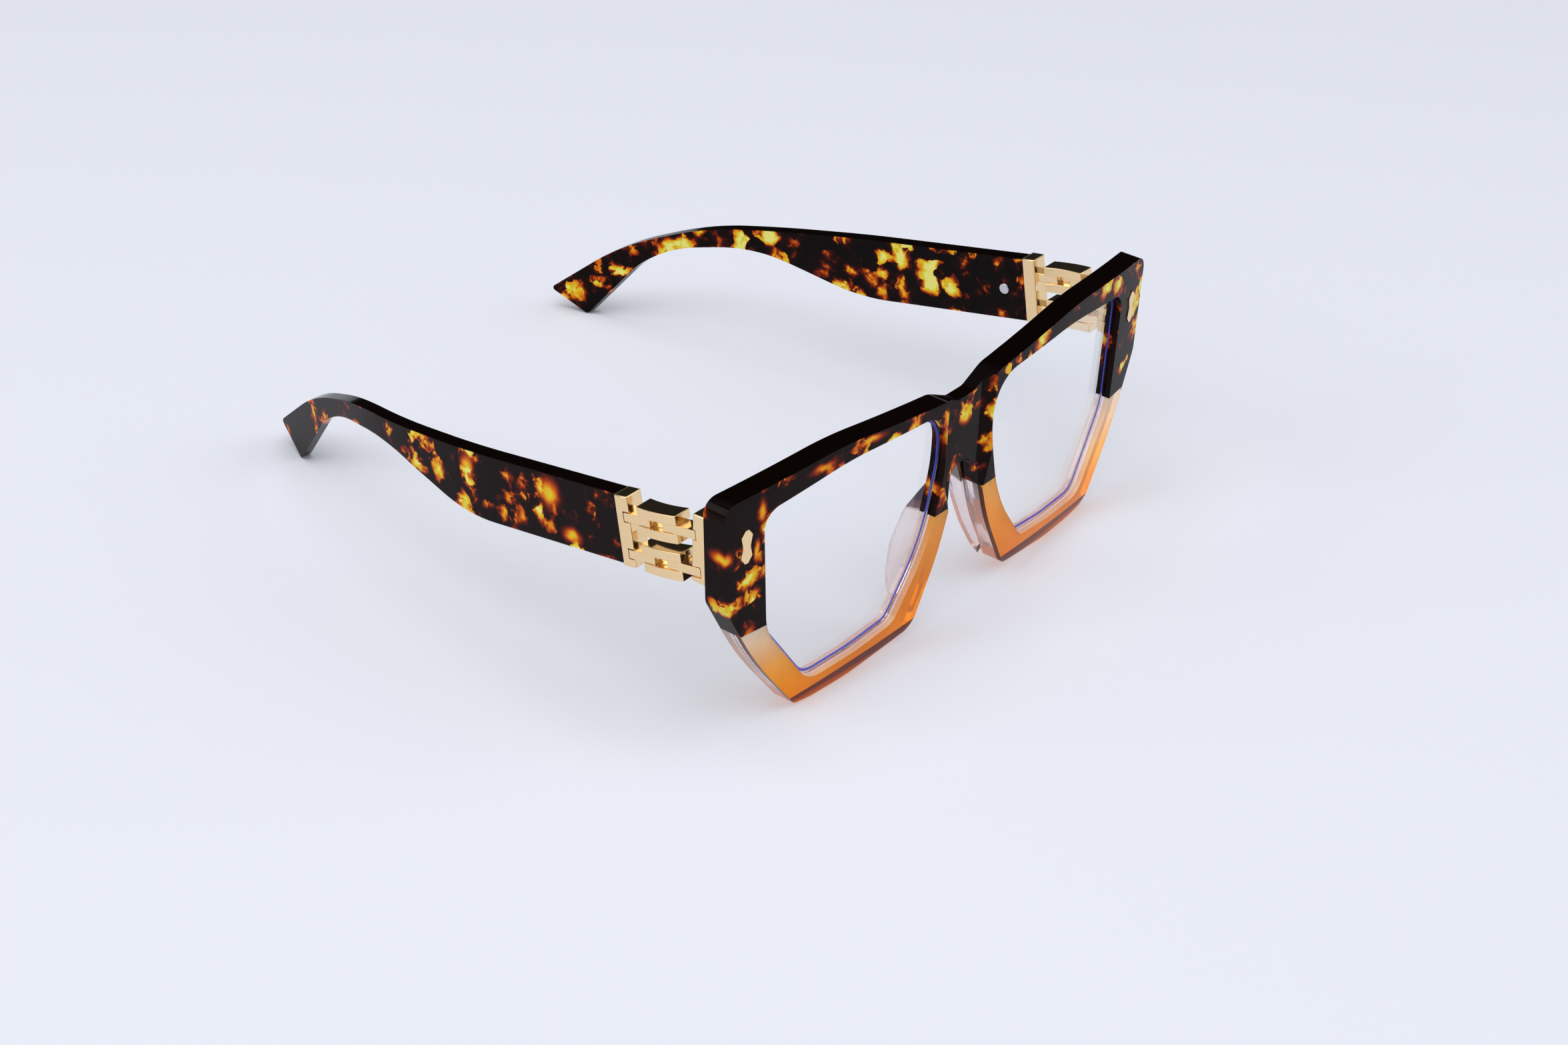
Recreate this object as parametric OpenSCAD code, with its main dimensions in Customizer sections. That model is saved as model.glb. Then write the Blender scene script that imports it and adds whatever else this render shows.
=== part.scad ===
// Spectacles with a laminated acetate front, gold link hinges and folding temples.
// Millimetres. X runs across the face (the wearer's left is +X), Y runs from the front to the
// temple tips, Z is up. The origin is on the table, midway between the front and the tips.

/* [Overall] */
// Length from the front face to the temple tips
overall_l = 155; // [150:1:160]
// Width across the outer corners of the front
front_w = 143; // [139:1:147]
// Height of the front at the brow
front_h = 55.3; // [54:0.1:56.5]

/* [Front] */
// Thickness of the acetate front
front_t = 5; // [4.5:0.1:5.5]
// Radius that the front wraps round the face
wrap_r = 470; // [400:10:600]
// Thickness of the coloured front layer of the lower rims
amber_t = 1.2; // [1:0.1:2]
// Height where the dark brow ends on the outer side
split_outer_z = 23.5; // [22:0.1:25]
// Height where the dark brow ends beside the nose
split_nose_z = 26.7; // [25:0.1:28]
// Depth of the step that sets the bridge back from the rims
bridge_step = 1.8; // [1:0.1:2.4]
// Rise of the long facet under each rim
facet_rise = 3.3; // [2.6:0.1:3.6]
// Depth of the long facet under each rim
facet_run = 0.7; // [0.5:0.1:1.2]

/* [Lenses] */
// Thickness of a lens
lens_t = 2; // [1.6:0.1:2.4]
// Depth of the groove that holds a lens
groove_d = 0.8; // [0.5:0.1:1]
// Depth of a lens's front surface behind the front face
lens_set = 2; // [1.2:0.1:2.2]

/* [Hinge] */
// Height of the hinge centre above the table
hinge_z = 41.9; // [41:0.1:42.6]
// Distance of the hinge pin from the middle of the front
pin_x = 64.2; // [63.8:0.1:64.6]
// Radius of the hinge screw's shank
screw_r = 0.7; // [0.6:0.05:0.8]
// Radial clearance of the moving knuckles on the screw
pin_gap = 0.05; // [0.02:0.01:0.1]
// Outer radius of the knuckles
knuckle_r = 1.5; // [1.4:0.05:1.6]
// Height of one knuckle
knuckle_h = 1.6; // [1.4:0.1:1.8]

/* [Gold links] */
// Slope of the temples down to the ear, in degrees
temple_tilt = 10.3; // [9.8:0.1:10.8]
// Width across the links, from the inner to the outer face
link_w = 4.2; // [3.6:0.1:4.6]
// Height of one block of a link
block_h = 2; // [1.8:0.1:2.1]
// Radius of the outward bulge of the links
bulge_r = 27; // [20:1:40]

/* [Temples] */
// Thickness of the temple at the hinge
temple_t = 3.7; // [3.4:0.1:4.2]
// Thickness of the temple at the tip
tip_t = 2.6; // [2.4:0.1:3.4]
// Height of the temple at the cap
temple_h = 14.7; // [14:0.1:15]

/* [Hidden] */
$fn = 64;
wrap_fn = 720;
arc_steps = 8;
right = -1;
left = 1;
half_w = front_w / 2;
reach = 30;
tall = 90;
touch_gap = 0.08;
eps = 0.1;

// Outline of one half of the front, each corner as [x, z, radius]
nose_top = [3.2, 34.4, 3.5];
nose_low = [8.7, 17.4, 60];
foot_in = [16.6, 2.4, 3];
rest_in = [36, 0, 60];
rest_out = [46, 0, 12];
foot_out = [51, 0.7, 2.5];
side_mid = [62.5, 15.8, 90];
side_low = [half_w - 1.1, 31.2, 4];
side_top = [half_w, front_h - 1.5, 3.2];
brow_peak = [40, front_h + 0.2, 90];
brow_root = [9, front_h - 2.8, 8];
bridge_top = [2.8, front_h - 5.6, 3];
left_half = [
    nose_top, nose_low, foot_in, rest_in, rest_out, foot_out, side_mid, side_low, side_top,
    brow_peak, brow_root, bridge_top
];

// Outline of one lens opening, counter-clockwise
opening = [
    [8, 50.4, 8], [8.1, 37, 30], [12, 21, 40], [22.6, 6.9, 3.5], [34, 5.5, 30], [47.8, 5, 6],
    [59.7, 21.8, 12], [61.3, 48.8, 4.2], [38, front_h - 3.8, 80]
];

// Gold bar, cap and links; u runs along the temple from the back of the front, v across it
bar_h = 14.8;
bar_x = [66.2, 70.5];
bar_back_y = 13.8;
cap_u = [18.5, 21.7];
cap_x = [65.95, 70.4];
cap_h = temple_h + 0.5;
block_u = [6.3, 16.1];
link_x = 70.95;
tab_h = 1.9;
bar_tab_u = [2, 9.9];
cap_tab_u = [13.1, 19];
post_u = [9.9, 13.1];
tab_x = [66.9, 70.4];
post_recess = 1.5;
upper_tab_v = 3.25;
lower_tab_v = -4.6;
bar_y = 10.8;

// Hinge: the pin stands behind the front, and the leaf stack is centred on hinge_z
pin_back = 1.7;
pin_y = wrap_r - sqrt(pow(wrap_r - front_t, 2) - pin_x * pin_x) + pin_back;
knuckle_gap = 0.05;
pitch = knuckle_h + knuckle_gap;
fixed_levels = [-2, 0, 2];
moving_levels = [-1, 1];
plate_x = [61.9, 65.6];
plate_t = 0.9;
plate_h = 10.4;
screw_head_r = 1.3;
screw_head_h = 0.8;
knuckle_clear = 0.15;
leaf_t = 1.5;

// Temple: side view corners [y, z, radius] and plan view corners [x, y, radius]
cap_end_y = bar_y + cap_u[1] * cos(temple_tilt);
cap_end_z = hinge_z - cap_u[1] * sin(temple_tilt);
lean_y = temple_h / 2 * sin(temple_tilt);
lean_z = temple_h / 2 * cos(temple_tilt);
tip_low_y = overall_l - 9;
temple_side = [
    [cap_end_y + lean_y, cap_end_z + lean_z, 0], [cap_end_y - lean_y, cap_end_z - lean_z, 0],
    [75.8, 22.2, 45], [104.9, 27.1, 45], [124.5, 22.6, 30], [133, 16.5, 25], [tip_low_y, 0, 0.8],
    [overall_l + 0.4, 5.2, 0.8], [137.5, 20.4, 60], [117.5, 29.2, 80]
];
wire_side_mid = [
    [cap_end_y, cap_end_z], [75.8, 30], [96, 29.4], [108, 28.4], [119, 25.9], [127, 22.6],
    [135, 17], [141, 11]
];
plan_outer = [[70, 28, 0], [67, 76, 200], [62.9, 104, 150], [46, overall_l, 0]];
wire_w = 1.3;
wire_h = 2.2;
tongue_h = 8;
tongue_l = 9;
pin_head_r = 1.3;
pin_head_pos = [37.4, 36.7];
pin_l = 7;

// Nose pad: side view corners [y, z, radius], measured from the back of the front
pad_side = [
    [-0.5, 35.5, 0], [-0.5, 4.5, 0], [2, 5.5, 3], [4.4, 10.5, 8], [5.4, 17.5, 8], [4.6, 25, 8],
    [1.4, 32.5, 5]
];
pad_t = 3.4;
pad_splay = 18;
pad_lean = 22;
pad_foot = [11.2, 16];

// Gold plaque on the end piece: half of its waisted outline, [x, z] from its centre
plaque_pos = [65.8, 43.6];
plaque_half = [[0.4, 3.7], [1.4, 2.4], [0.9, 0], [1.4, -2.2], [0.4, -3.6]];
plaque_proud = 0.3;
plaque_inlay = 0.7;
plaque_pin_r = 0.6;
plaque_pin_z = 1.9;
plaque_pin_l = 2.6;
plaque_pin_sink = 0.2;
// Foot of the step in the bridge, and the reach of its sloping sides across the front
step_foot = 5.4;
step_side = 8.2;
step_z = nose_top[1] - 1.4;

// ---- outlines ----

function unit(v) = v / norm(v);
function flat(p) = [p[0], p[1]];
function turn(a) = a > 180 ? a - 360 : a < -180 ? a + 360 : a;

// The corner p between a and b, rounded to p's own radius
function corner(a, p, b) = p[2] == 0 ? [flat(p)] :
    let (u = unit(flat(a) - flat(p)), w = unit(flat(b) - flat(p)), half = acos(u * w) / 2)
    let (start = flat(p) + u * p[2] / tan(half), finish = flat(p) + w * p[2] / tan(half))
    let (c = flat(p) + unit(u + w) * p[2] / sin(half))
    let (from = atan2(start[1] - c[1], start[0] - c[0]))
    let (sweep = turn(atan2(finish[1] - c[1], finish[0] - c[0]) - from))
    [for (i = [0:arc_steps]) c + p[2] * [cos(from + sweep * i / arc_steps), sin(from + sweep * i / arc_steps)]];

function rounded(pts) = let (n = len(pts))
    [for (i = [0:n - 1]) each corner(pts[(i + n - 1) % n], pts[i], pts[(i + 1) % n])];

// Points along an open line of corners, rounded, with its two ends kept
function rounded_line(pts) = let (n = len(pts))
    [flat(pts[0]), for (i = [1:n - 2]) each corner(pts[i - 1], pts[i], pts[i + 1]), flat(pts[n - 1])];

// A counter-clockwise outline moved outwards by d
function outward(a, b) = let (e = unit(flat(b) - flat(a))) [e[1], -e[0]];
function grow(pts, d) = let (n = len(pts)) [for (i = [0:n - 1])
    let (m = outward(pts[(i + n - 1) % n], pts[i]), k = outward(pts[i], pts[(i + 1) % n]))
    let (q = flat(pts[i]) + d * (m + k) / (1 + m * k)) [q[0], q[1], pts[i][2] + d]];

function flip_x(pts) = [for (i = [len(pts) - 1:-1:0]) [-pts[i][0], pts[i][1], pts[i][2]]];

front_outline = concat(left_half, flip_x(left_half));

// ---- shared shapes ----

// Puts a piece in the part's frame, mirrored for the wearer's right side
module placed(side = left) {
    translate([0, -overall_l / 2, 0]) {
        if (side == right) mirror([1, 0, 0]) children();
        else children();
    }
}

// A prism along Y of an outline given as [x, z]
module along_y(pts) {
    translate([0, reach, 0]) rotate([90, 0, 0]) linear_extrude(reach + 5) polygon(pts);
}

// The region between two depths behind the curved front face
module layer(near, far) {
    translate([0, wrap_r, -5]) difference() {
        cylinder(r = wrap_r - near, h = tall, $fn = wrap_fn);
        translate([0, 0, -1]) cylinder(r = wrap_r - far, h = tall + 2, $fn = wrap_fn);
    }
}

// Everything behind a depth measured from the curved front face
module behind(depth) {
    translate([0, wrap_r, -5]) cylinder(r = wrap_r - depth, h = tall, $fn = wrap_fn);
}

// The long facet under a rim, cut from the front face down to the foot and rising to the nose
module foot_facet() {
    mid = (foot_in[0] + foot_out[0]) / 2;
    fall = atan2(foot_in[1], rest_out[0] - foot_in[0]) / 2;
    length = foot_out[0] - foot_in[0] - 5;
    slope = facet_rise / facet_run;
    translate([mid, mid * mid / (2 * wrap_r), foot_in[1] / 4])
        rotate([0, fall, asin(mid / wrap_r)]) rotate([90, 0, 90])
            linear_extrude(length, center = true)
                polygon([[-1, facet_rise + slope], [-1, -2 * slope], [facet_run + 2, -2 * slope]]);
}

// The step that sets the bridge back between the rims
module bridge_cut() {
    rim = step_side + (step_side - step_foot) / bridge_step;
    translate([0, 0, step_z]) linear_extrude(tall)
        polygon([[-rim, -1], [-step_foot, bridge_step], [step_foot, bridge_step], [rim, -1]]);
}

// The body of one lens, also used to cut its groove
module lens_body() {
    intersection() {
        along_y(rounded(grow(opening, groove_d)));
        layer(lens_set, lens_set + lens_t);
    }
}

module plaque_body() {
    outline = [for (p = plaque_half) [p[0], p[1]]];
    other = [for (i = [len(plaque_half) - 1:-1:0]) [-plaque_half[i][0], plaque_half[i][1]]];
    moved = [for (p = concat(outline, other)) p + plaque_pos];
    intersection() {
        along_y(moved);
        layer(-plaque_proud, plaque_inlay);
    }
}

module plaque_pins() {
    pin_start = plaque_pos[0] * plaque_pos[0] / (2 * wrap_r) + plaque_inlay - plaque_pin_sink;
    for (dz = [-plaque_pin_z, plaque_pin_z])
        translate([plaque_pos[0], pin_start, plaque_pos[1] + dz])
            rotate([-90, 0, 0]) cylinder(r = plaque_pin_r, h = plaque_pin_l);
}

module hinge_plate() {
    intersection() {
        translate([plate_x[0], 0, hinge_z - plate_h / 2])
            cube([plate_x[1] - plate_x[0], reach, plate_h]);
        layer(front_t - plate_t, front_t);
    }
}

// The dark acetate above the split, which falls from the nose to the outer side
module above_split() {
    for (side = [0, 1]) mirror([side, 0, 0]) {
        translate([0, -5, split_nose_z]) cube([30, 40, tall]);
        translate([29, -5, split_outer_z]) cube([60, 40, tall]);
    }
}

// The full thickness of the lower rim between two depths
module lower_rim(near, far) {
    difference() {
        intersection() {
            along_y(rounded(front_outline));
            layer(near, far);
            translate([0, -5, -1]) cube([80, 40, 40]);
        }
        along_y(rounded(opening));
        above_split();
        lens_body();
        foot_facet();
    }
}

// ---- front ----

module front_upper() {
    color("#3a1a0c") placed() difference() {
        intersection() {
            along_y(rounded(front_outline));
            layer(0, front_t);
            above_split();
        }
        for (side = [0, 1]) mirror([side, 0, 0]) {
            along_y(rounded(opening));
            lens_body();
            plaque_body();
            plaque_pins();
            hinge_plate();
        }
        bridge_cut();
    }
}

module rim_front(side) {
    color("#e0942a") placed(side) lower_rim(0, amber_t);
}

module rim_back(side) {
    color("#ead9d6") placed(side) lower_rim(amber_t, front_t);
}

// A pad that stands behind the rim beside the nose, splayed to the back
module nose_pad(side) {
    color("#d9b9a8") placed(side) intersection() {
        translate([pad_foot[0], front_t + eps, pad_foot[1]])
            rotate([0, -pad_lean, 0]) rotate([0, 0, -pad_splay])
            translate([-pad_t / 2, 0, -pad_foot[1]]) rotate([90, 0, 90])
                linear_extrude(pad_t) polygon(rounded(pad_side));
        behind(front_t);
    }
}

module lens(side) {
    color("#dfe8f4", 0.35) placed(side) lens_body();
}

module plaque(side) {
    color("#e6c08a") placed(side) union() {
        plaque_body();
        plaque_pins();
    }
}

// ---- hinge ----

// One knuckle of the hinge at a level of the stack
module knuckle(level, bore_r) {
    translate([pin_x, pin_y, hinge_z + level * pitch - knuckle_h / 2]) difference() {
        cylinder(r = knuckle_r, h = knuckle_h);
        translate([0, 0, -1]) cylinder(r = bore_r, h = knuckle_h + 2);
    }
}

module hinge_front(side) {
    web_w = 2 * knuckle_r - 0.3;
    web_l = pin_back + plate_t - 0.3;
    color("#d9b06a") placed(side) difference() {
        union() {
            hinge_plate();
            for (level = fixed_levels) {
                knuckle(level, screw_r);
                difference() {
                    translate([pin_x - knuckle_r, pin_y - web_l, hinge_z + level * pitch - knuckle_h / 2])
                        cube([web_w, web_l, knuckle_h]);
                    translate([pin_x, pin_y, 0]) cylinder(r = screw_r, h = tall);
                }
            }
        }
        for (level = moving_levels)
            translate([pin_x, pin_y, hinge_z + level * pitch - pitch / 2])
                cylinder(r = knuckle_r + knuckle_clear, h = pitch);
    }
}

module hinge_screw(side) {
    stack = 5 * pitch;
    color("#c9c9cc") placed(side) translate([pin_x, pin_y, hinge_z - stack / 2]) difference() {
        union() {
            cylinder(r = screw_r, h = stack);
            translate([0, 0, stack]) cylinder(r = screw_head_r, h = screw_head_h);
        }
        translate([-screw_head_r - 1, -0.2, stack + screw_head_h - 0.4])
            cube([2 * screw_head_r + 2, 0.4, 1]);
    }
}

// Tilts a piece from the temple's own u, v axes to the part's frame
module on_temple() {
    translate([0, bar_y, hinge_z]) rotate([-temple_tilt, 0, 0]) children();
}

// A block that bulges outwards, between two stations along the temple, sunk by recess
module bulged(u, v_mid, height, depth, recess = 0) {
    u_mid = (block_u[0] + block_u[1]) / 2;
    translate([link_x - bulge_r, u_mid, v_mid - height / 2]) linear_extrude(height) intersection() {
        difference() {
            circle(r = bulge_r - recess, $fn = 180);
            circle(r = bulge_r - recess - depth, $fn = 180);
        }
        translate([0, u[0] - u_mid]) square([bulge_r + 1, u[1] - u[0]]);
    }
}

// The two tabs that reach into the links, between two stations along the temple
module tabs(u) {
    on_temple() for (v = [upper_tab_v, lower_tab_v])
        translate([tab_x[0], u[0], v - tab_h / 2]) cube([tab_x[1] - tab_x[0], u[1] - u[0], tab_h]);
}

module hinge_bar(side) {
    color("#e6c08a") placed(side) union() {
        intersection() {
            translate([bar_x[0], 0, hinge_z - bar_h / 2])
                cube([bar_x[1] - bar_x[0], bar_back_y, bar_h]);
            behind(front_t + touch_gap);
        }
        tabs(bar_tab_u);
        for (level = moving_levels) {
            knuckle(level, screw_r + pin_gap);
            difference() {
                translate([pin_x, pin_y - leaf_t / 2, hinge_z + level * pitch - knuckle_h / 2])
                    cube([bar_x[0] - pin_x + eps, leaf_t, knuckle_h]);
                translate([pin_x, pin_y, 0]) cylinder(r = screw_r + pin_gap, h = tall);
            }
        }
    }
}

module link(side, v_mid) {
    block_v = (tab_h + block_h) / 2;
    color("#e6c08a") placed(side) on_temple() union() {
        for (v = [v_mid - block_v, v_mid + block_v])
            bulged(block_u, v, block_h, link_w);
        bulged(post_u, v_mid, tab_h + 2 * eps, link_w - 2 * post_recess, post_recess);
    }
}

module temple_cap(side) {
    color("#e6c08a") placed(side) union() {
        on_temple() translate([cap_x[0], cap_u[0], -cap_h / 2])
            cube([cap_x[1] - cap_x[0], cap_u[1] - cap_u[0], cap_h]);
        tabs(cap_tab_u);
    }
}

// ---- temples ----

// A prism along X of an outline given as [y, z]
module along_x(pts) {
    translate([30, 0, 0]) rotate([90, 0, 90]) linear_extrude(50) polygon(pts);
}

function taper(y) = temple_t + (tip_t - temple_t) * (y - cap_end_y) / (overall_l - cap_end_y);

// The plan of the temple between two fractions of its thickness, from the outer face inwards
function plan_band(a, b) = let (line = rounded_line(plan_outer)) concat(
    [for (p = line) [p[0] - a * taper(p[1]), p[1]]],
    [for (i = [len(line) - 1:-1:0]) [line[i][0] - b * taper(line[i][1]), line[i][1]]]);

module core_wire_body() {
    far = [for (p = wire_side_mid) p + [0, wire_h / 2]];
    near = [for (i = [len(wire_side_mid) - 1:-1:0]) wire_side_mid[i] - [0, wire_h / 2]];
    share = wire_w / temple_t / 2;
    intersection() {
        linear_extrude(tall) polygon(plan_band(0.5 - share, 0.5 + share));
        union() {
            along_x(concat(far, near));
            on_temple() translate([30, cap_u[1], -tongue_h / 2]) cube([50, tongue_l, tongue_h]);
        }
        on_temple() translate([30, cap_u[1], -tall]) cube([50, 2 * tall, 2 * tall]);
    }
}

module pin_body() {
    translate([60, pin_head_pos[0], pin_head_pos[1]]) rotate([0, 90, 0]) cylinder(r = pin_head_r, h = pin_l);
}

module temple(side) {
    color("#3a1a0c") placed(side) difference() {
        intersection() {
            along_x(rounded(temple_side));
            linear_extrude(tall) polygon(plan_band(0, 1));
        }
        core_wire_body();
        intersection() {
            pin_body();
            linear_extrude(tall) polygon(plan_band(0.5, 1.2));
        }
    }
}

module core_wire(side) {
    color("#b9bcc2") placed(side) core_wire_body();
}

module temple_pin(side) {
    color("#c9c9cc") placed(side) difference() {
        intersection() {
            pin_body();
            linear_extrude(tall) polygon(plan_band(0.5, 1.03));
        }
        core_wire_body();
    }
}

front_upper();
rim_front(right);  // rim_front_right
rim_front(left);  // rim_front_left
rim_back(right);  // rim_back_right
rim_back(left);  // rim_back_left
nose_pad(right);  // nose_pad_right
nose_pad(left);  // nose_pad_left
lens(right);  // lens_right
lens(left);  // lens_left
plaque(right);  // plaque_right
plaque(left);  // plaque_left
hinge_front(right);  // hinge_front_right
hinge_front(left);  // hinge_front_left
hinge_screw(right);  // hinge_screw_right
hinge_screw(left);  // hinge_screw_left
hinge_bar(right);  // hinge_bar_right
hinge_bar(left);  // hinge_bar_left
link(right, upper_tab_v);  // link_upper_right
link(left, upper_tab_v);  // link_upper_left
link(right, lower_tab_v);  // link_lower_right
link(left, lower_tab_v);  // link_lower_left
temple_cap(right);  // temple_cap_right
temple_cap(left);  // temple_cap_left
temple(right);  // temple_right
temple(left);  // temple_left
core_wire(right);  // core_wire_right
core_wire(left);  // core_wire_left
temple_pin(right);  // temple_pin_right
temple_pin(left);  // temple_pin_left
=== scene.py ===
"""Acetate spectacles with gold link hinges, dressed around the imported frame.

Every new piece is modelled flat and in millimetres, then settled: one mapping puts each of its
points in the frame, wrapped round the face or swept along the temple, in metres.
"""

import logging
import math
from collections.abc import Callable, Iterable, Sequence
from dataclasses import dataclass, field
from enum import Enum

import bpy
from bpy.types import Material, Node, NodeSocket, NodeTree, Object
from mathutils import Matrix, Vector


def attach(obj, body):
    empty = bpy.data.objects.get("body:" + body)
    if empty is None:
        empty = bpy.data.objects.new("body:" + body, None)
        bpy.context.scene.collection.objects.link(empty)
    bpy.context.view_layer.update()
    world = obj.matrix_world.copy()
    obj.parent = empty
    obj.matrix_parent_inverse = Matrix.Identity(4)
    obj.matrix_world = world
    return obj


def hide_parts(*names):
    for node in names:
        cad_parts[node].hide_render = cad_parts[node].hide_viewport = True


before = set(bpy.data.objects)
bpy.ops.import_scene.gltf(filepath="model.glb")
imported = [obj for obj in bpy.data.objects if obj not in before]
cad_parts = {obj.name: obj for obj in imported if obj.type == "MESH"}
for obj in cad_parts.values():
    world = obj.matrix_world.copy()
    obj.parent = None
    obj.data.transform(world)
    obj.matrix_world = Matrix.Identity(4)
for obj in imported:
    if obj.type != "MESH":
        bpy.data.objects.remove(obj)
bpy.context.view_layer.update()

LOG = logging.getLogger("spectacles")

MM = 0.001
OVERALL_L = 155.0
HALF_L = OVERALL_L / 2
OVERLAP = 0.03  # bonded layers run this far into each other, so that light crosses the joint cleanly
ACETATE_IOR = 1.49

Point = tuple[float, float]
Triple = tuple[float, float, float]
Tints = Sequence[tuple[float, str]]
Source = Node | NodeSocket
Mapping = Callable[[Vector], Vector]


class Side(Enum):
    """The wearer's sides, each with the sign of its X."""

    RIGHT = -1
    LEFT = 1

    @property
    def label(self) -> str:
        """The ending of this side's names."""
        return self.name.lower()

    @property
    def temple_body(self) -> str:
        """The body that folds on this side."""
        return f"{self.label}_temple"


class Keep(Enum):
    """Which side of a cutting plane stays, as seen along its normal."""

    FRONT = "front"
    BACK = "back"


# ---------------------------------------------------------------- outlines


@dataclass(frozen=True)
class Corner:
    """A corner of a flat outline.

    Args:
        u: First coordinate in mm.
        v: Second coordinate in mm.
        radius: Radius that rounds the corner, in mm.
    """

    u: float
    v: float
    radius: float = 0.0

    @property
    def at(self) -> Vector:
        """The corner as a 2-D vector."""
        return Vector((self.u, self.v))


def corner_arc(before: Corner, here: Corner, after: Corner, steps: int = 10) -> list[Point]:
    """Rounds one corner.

    Args:
        before: The corner before it.
        here: The corner to round.
        after: The corner after it.
        steps: Number of chords in the arc.

    Returns:
        The points of the arc, or the corner itself where its radius is 0.
    """
    if here.radius <= 0:
        return [(here.u, here.v)]
    to_before = (before.at - here.at).normalized()
    to_after = (after.at - here.at).normalized()
    half = to_before.angle(to_after) / 2
    start = here.at + to_before * here.radius / math.tan(half)
    finish = here.at + to_after * here.radius / math.tan(half)
    centre = here.at + (to_before + to_after).normalized() * here.radius / math.sin(half)
    first = math.atan2(start.y - centre.y, start.x - centre.x)
    sweep = math.atan2(finish.y - centre.y, finish.x - centre.x) - first
    sweep = (sweep + math.pi) % (2 * math.pi) - math.pi
    turns = [first + sweep * i / steps for i in range(steps + 1)]
    return [(centre.x + here.radius * math.cos(t), centre.y + here.radius * math.sin(t)) for t in turns]


def rounded(corners: Sequence[Corner]) -> list[Point]:
    """Rounds the corners of an outline, or of an open line whose two ends have no radius.

    Args:
        corners: The corners in order.

    Returns:
        The points.
    """
    points: list[Point] = []
    for i, here in enumerate(corners):
        points += corner_arc(corners[i - 1], here, corners[(i + 1) % len(corners)])
    return points


def grown(corners: Sequence[Corner], by: float) -> list[Corner]:
    """Moves a counter-clockwise outline outwards.

    Args:
        corners: The outline's corners.
        by: Distance in mm.

    Returns:
        The corners of the larger outline.
    """
    moved: list[Corner] = []
    for i, here in enumerate(corners):
        along = (here.at - corners[i - 1].at).normalized()
        onward = (corners[(i + 1) % len(corners)].at - here.at).normalized()
        m, k = Vector((along.y, -along.x)), Vector((onward.y, -onward.x))
        at = here.at + by * (m + k) / (1 + m.dot(k))
        moved.append(Corner(at.x, at.y, here.radius + by))
    return moved


def mirrored(corners: Iterable[Corner]) -> list[Corner]:
    """Mirrors corners across the middle plane, in the order that keeps them counter-clockwise."""
    return [Corner(-c.u, c.v, c.radius) for c in reversed(list(corners))]


# ---------------------------------------------------------------- bench tools


def pick(*objects: Object) -> None:
    """Selects only some objects, and makes the first active.

    Args:
        objects: The objects.
    """
    bpy.ops.object.select_all(action="DESELECT")
    for o in objects:
        o.select_set(True)
    bpy.context.view_layer.objects.active = objects[0]


def edit(obj: Object) -> None:
    """Opens one object in edit mode with everything selected.

    Args:
        obj: The object.
    """
    pick(obj)
    bpy.ops.object.mode_set(mode="EDIT")
    bpy.ops.mesh.select_all(action="SELECT")


def leave() -> None:
    """Goes back to object mode."""
    bpy.ops.object.mode_set(mode="OBJECT")


def loop(name: str, points: Sequence[Vector]) -> Object:
    """Adds a ring of edges through the given points.

    Args:
        name: Name of the new object.
        points: The ring's points in order.

    Returns:
        The new object.
    """
    bpy.ops.object.select_all(action="DESELECT")
    bpy.ops.mesh.primitive_circle_add(vertices=len(points), radius=1, fill_type="NOTHING")
    ring = bpy.context.active_object
    ring.name = name
    for vertex, at in zip(ring.data.vertices, points):
        vertex.co = at
    return ring


def slab(name: str, loops: Sequence[Sequence[Vector]], thick: Vector) -> Object:
    """Fills a flat outline, with any holes, and extrudes it.

    Args:
        name: Name of the new object.
        loops: The outline first, then its holes.
        thick: The extrusion.

    Returns:
        The closed slab.
    """
    rings = [loop(f"{name}_{i}", points) for i, points in enumerate(loops)]
    pick(*rings)
    if len(rings) > 1:
        bpy.ops.object.join()
    made = bpy.context.active_object
    made.name = name
    edit(made)
    bpy.ops.mesh.fill(use_beauty=True)
    bpy.ops.mesh.select_all(action="SELECT")
    bpy.ops.mesh.extrude_region_move(TRANSFORM_OT_translate={"value": thick})
    bpy.ops.mesh.select_all(action="SELECT")
    bpy.ops.mesh.normals_make_consistent(inside=False)
    leave()
    return made


def block(name: str, low: Sequence[float], high: Sequence[float]) -> Object:
    """A box between two corners, to be shaped further.

    Args:
        name: Name of the new object.
        low: Lowest corner in mm.
        high: Highest corner in mm.

    Returns:
        The box.
    """
    bpy.ops.object.select_all(action="DESELECT")
    bpy.ops.mesh.primitive_cube_add(size=1)
    made = bpy.context.active_object
    made.name = name
    for vertex in made.data.vertices:
        vertex.co = Vector([low[i] + (vertex.co[i] + 0.5) * (high[i] - low[i]) for i in range(3)])
    return made


def rod(name: str, radius: float, start: Vector, end: Vector, sides: int = 32) -> Object:
    """A round bar between two points.

    Args:
        name: Name of the new object.
        radius: Radius in mm.
        start: Middle of one end.
        end: Middle of the other end.
        sides: Number of flats round it.

    Returns:
        The bar.
    """
    bpy.ops.object.select_all(action="DESELECT")
    bpy.ops.mesh.primitive_cylinder_add(vertices=sides, radius=radius, depth=(end - start).length)
    made = bpy.context.active_object
    made.name = name
    turn = (end - start).to_track_quat("Z", "Y").to_matrix().to_4x4()
    made.data.transform(Matrix.Translation((start + end) / 2) @ turn)
    return made


def add_modifier(obj: Object, kind: str, **settings: object) -> None:
    """Adds a modifier and applies it.

    Args:
        obj: The piece.
        kind: The modifier's type.
        settings: Its properties.
    """
    pick(obj)
    modifier = obj.modifiers.new(kind.lower(), kind)
    for name, value in settings.items():
        setattr(modifier, name, value)
    bpy.ops.object.modifier_apply(modifier=modifier.name)


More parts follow.
